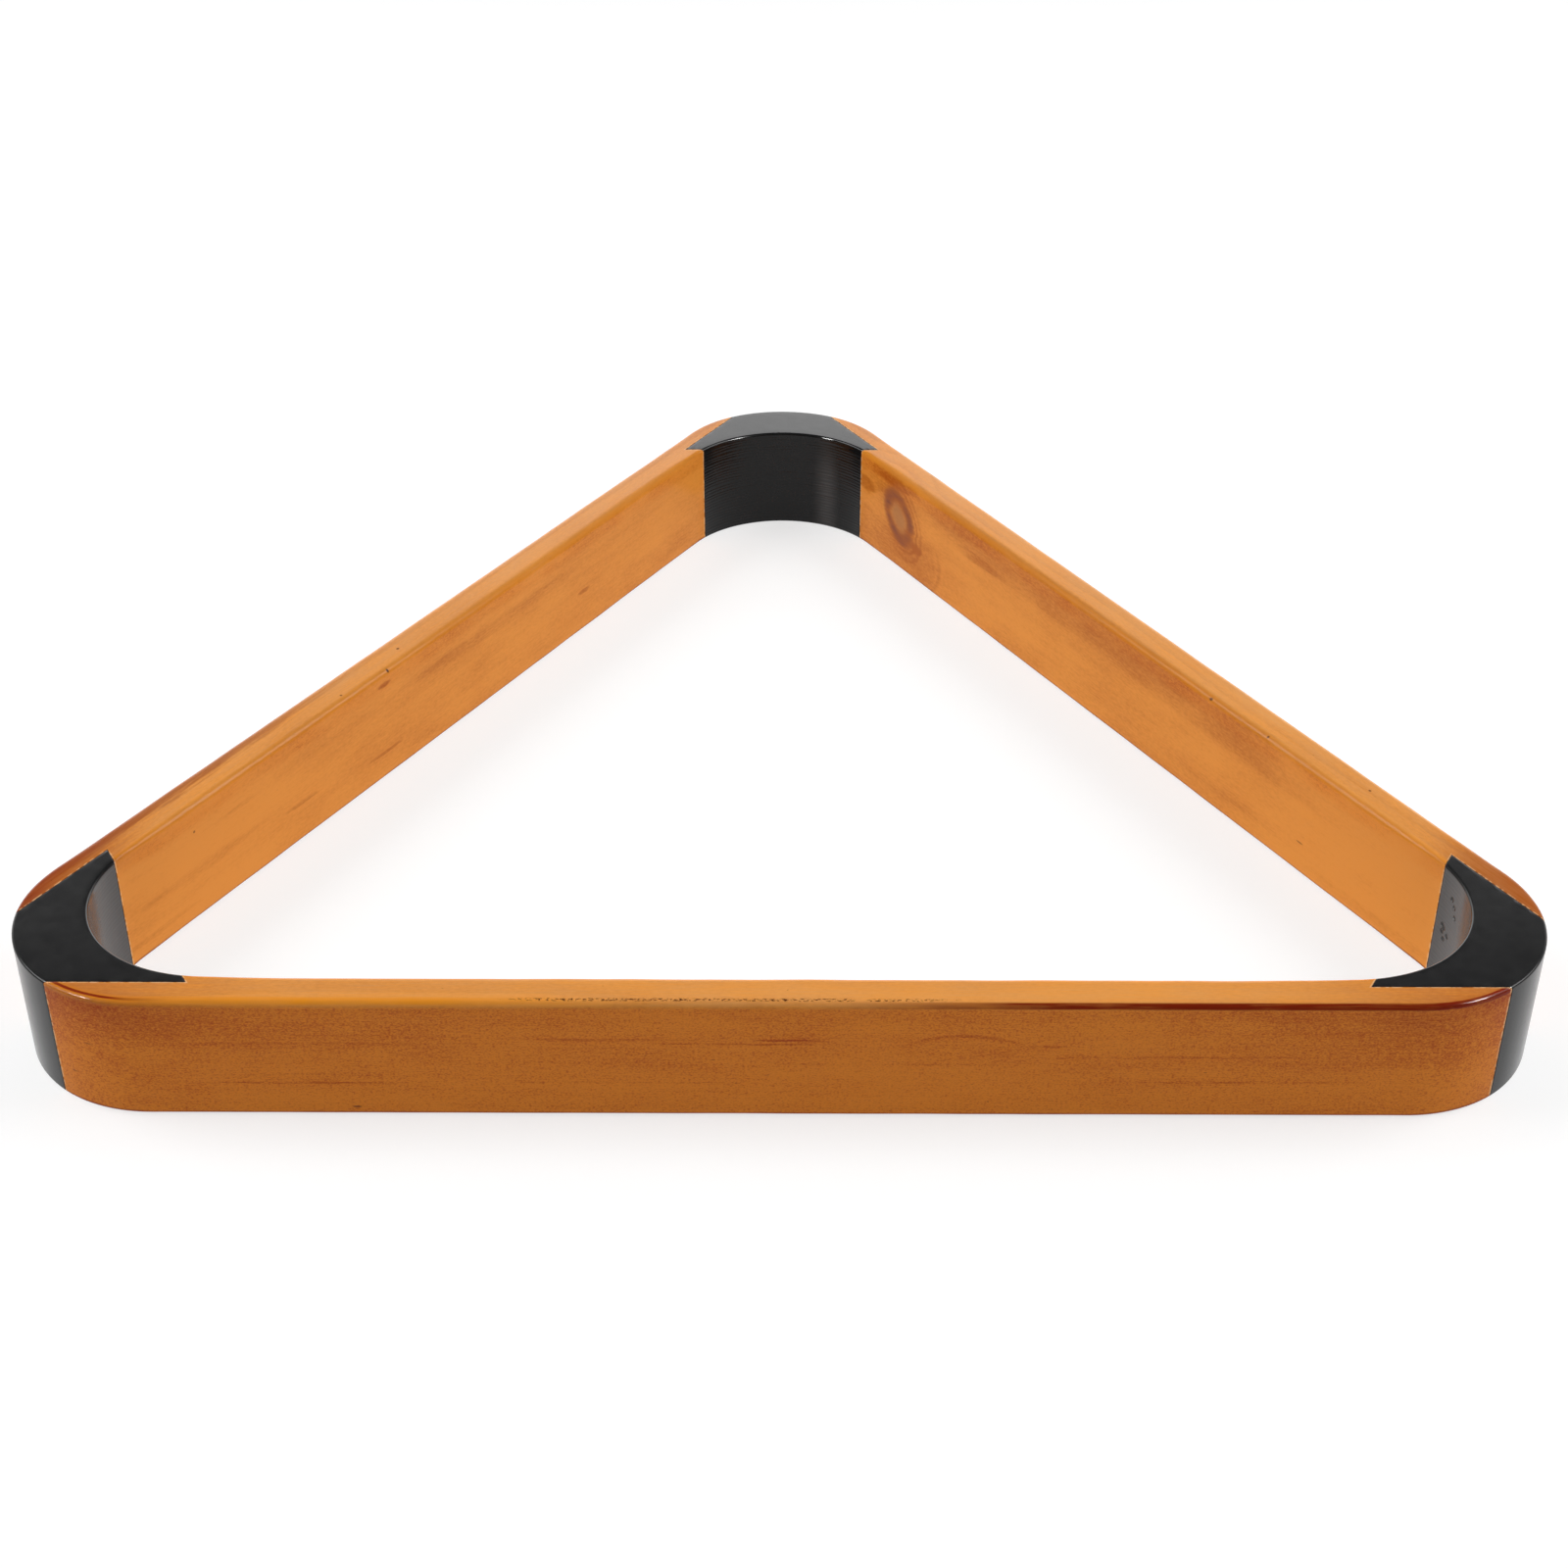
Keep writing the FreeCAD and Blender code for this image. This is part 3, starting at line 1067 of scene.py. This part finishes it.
def make_camera():
    """The photograph's camera."""
    forward = Vector(
        (
            math.sin(HEADING) * math.cos(PITCH),
            math.cos(HEADING) * math.cos(PITCH),
            -math.sin(PITCH),
        )
    )
    level = Vector((math.cos(HEADING), -math.sin(HEADING), 0.0))
    upright = level.cross(forward)
    right = level * math.cos(ROLL) + upright * math.sin(ROLL)
    up = upright * math.cos(ROLL) - level * math.sin(ROLL)
    data = bpy.data.cameras.new("camera")
    data.lens = FOCAL_LENGTH
    data.sensor_width = SENSOR_WIDTH
    data.clip_start = CLIP_START
    camera = bpy.data.objects.new("camera", data)
    place = MIDDLE - forward * DISTANCE + right * SHIFT_RIGHT + up * SHIFT_UP
    turn = Matrix((right, up, -forward)).transposed()
    camera.matrix_world = Matrix.Translation(place) @ turn.to_4x4()
    bpy.context.scene.collection.objects.link(camera)
    bpy.context.scene.camera = camera


def make_floor():
    """A plain square floor under the rack."""
    data = bpy.data.meshes.new("floor")
    sides = [(-1.0, -1.0), (1.0, -1.0), (1.0, 1.0), (-1.0, 1.0)]
    corners = [(x * FLOOR_REACH, y * FLOOR_REACH, 0.0) for x, y in sides]
    data.from_pydata(corners, [], [(0, 1, 2, 3)])
    floor = bpy.data.objects.new("floor", data)
    floor.location.z = cad_low.z
    bpy.context.scene.collection.objects.link(floor)
    material = bpy.data.materials.new("floor")
    material.use_nodes = True
    shader = material.node_tree.nodes["Principled BSDF"]
    shader.inputs["Base Color"].default_value = FLOOR_GREY
    shader.inputs["Emission Color"].default_value = WHITE
    shader.inputs["Emission Strength"].default_value = FLOOR_GLOW
    shader.inputs["Roughness"].default_value = FLOOR_ROUGHNESS
    shader.inputs["Specular IOR Level"].default_value = 0.0
    data.materials.append(material)


def make_light(name, place, side, power, gloss_only):
    """A square light that faces the middle of the rack and that the camera doesn't see."""
    data = bpy.data.lights.new(name, "AREA")
    data.shape = "RECTANGLE"
    data.size = side
    data.size_y = side
    data.energy = power
    light = bpy.data.objects.new(name, data)
    light.location = place
    light.rotation_euler = (MIDDLE - Vector(place)).to_track_quat("-Z", "Y").to_euler()
    light.visible_camera = False
    light.visible_diffuse = not gloss_only
    bpy.context.scene.collection.objects.link(light)


def make_world():
    """A studio: a low white wall behind the rack, and dim grey everywhere else."""
    world = bpy.data.worlds.new("studio")
    world.use_nodes = True
    tree = world.node_tree
    coordinates = tree.nodes.new("ShaderNodeTexCoord")
    split = tree.nodes.new("ShaderNodeSeparateXYZ")
    tree.links.new(coordinates.outputs["Generated"], split.inputs[0])
    to_the_right, to_the_back, upward = (Field(tree, output) for output in split.outputs)
    wall = upward.ramp(*WALL_TOP, 1.0, 0.0) * to_the_back.ramp(*WALL_FRONT)
    wall = wall * abs(to_the_right).ramp(*WALL_SIDES, 1.0, 0.0)
    light = wall * (WALL_LIGHT - ROOM_LIGHT) + ROOM_LIGHT
    connect(tree, light, tree.nodes["Background"].inputs["Strength"])
    tree.nodes["Background"].inputs["Color"].default_value = WHITE
    bpy.context.scene.world = world


make_camera()
make_floor()
for name, light in LIGHTS.items():
    make_light(name, *light)
make_world()
bpy.context.scene.view_settings.view_transform = "Standard"
